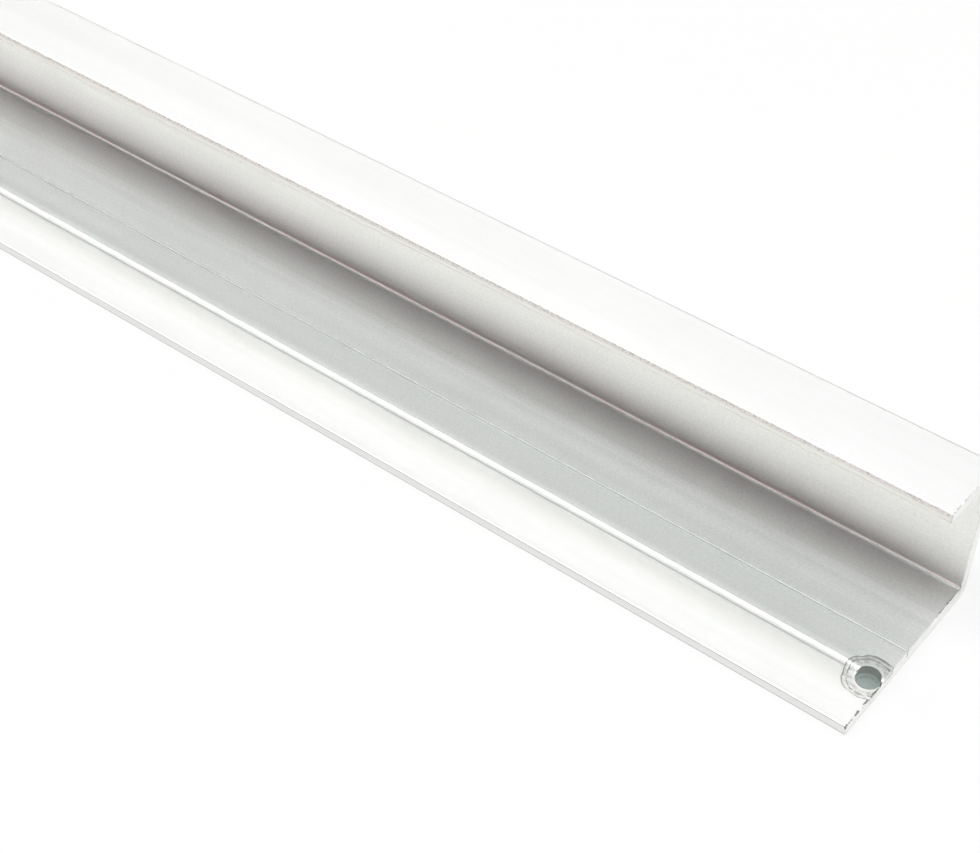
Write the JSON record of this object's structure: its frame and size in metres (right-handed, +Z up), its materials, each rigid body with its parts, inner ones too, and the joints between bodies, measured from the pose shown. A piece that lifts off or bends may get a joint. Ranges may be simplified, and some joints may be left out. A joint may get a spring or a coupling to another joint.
{
  "type": "aluminium extrusion profile",
  "caption": "Long open channel in extruded aluminium: stepped base flange, upright web and a lip over the base, with a screw hole in a shallow seat beside each sawn end. It edges or holds a board.",
  "frame": {"origin": "on the underside, at the middle of the bar's length and width", "axes": "+X along the bar, +Y from the front edge to the back of the web, +Z up from the underside to the lip"},
  "size_m": [0.5, 0.03, 0.023],
  "materials": {
    "anodised_aluminium": "satin natural anodised, with fine die lines along the bar and bare sawn ends"
  },
  "bodies": {
    "root": {"extruded_channel": "anodised_aluminium"}
  },
  "joints": []
}
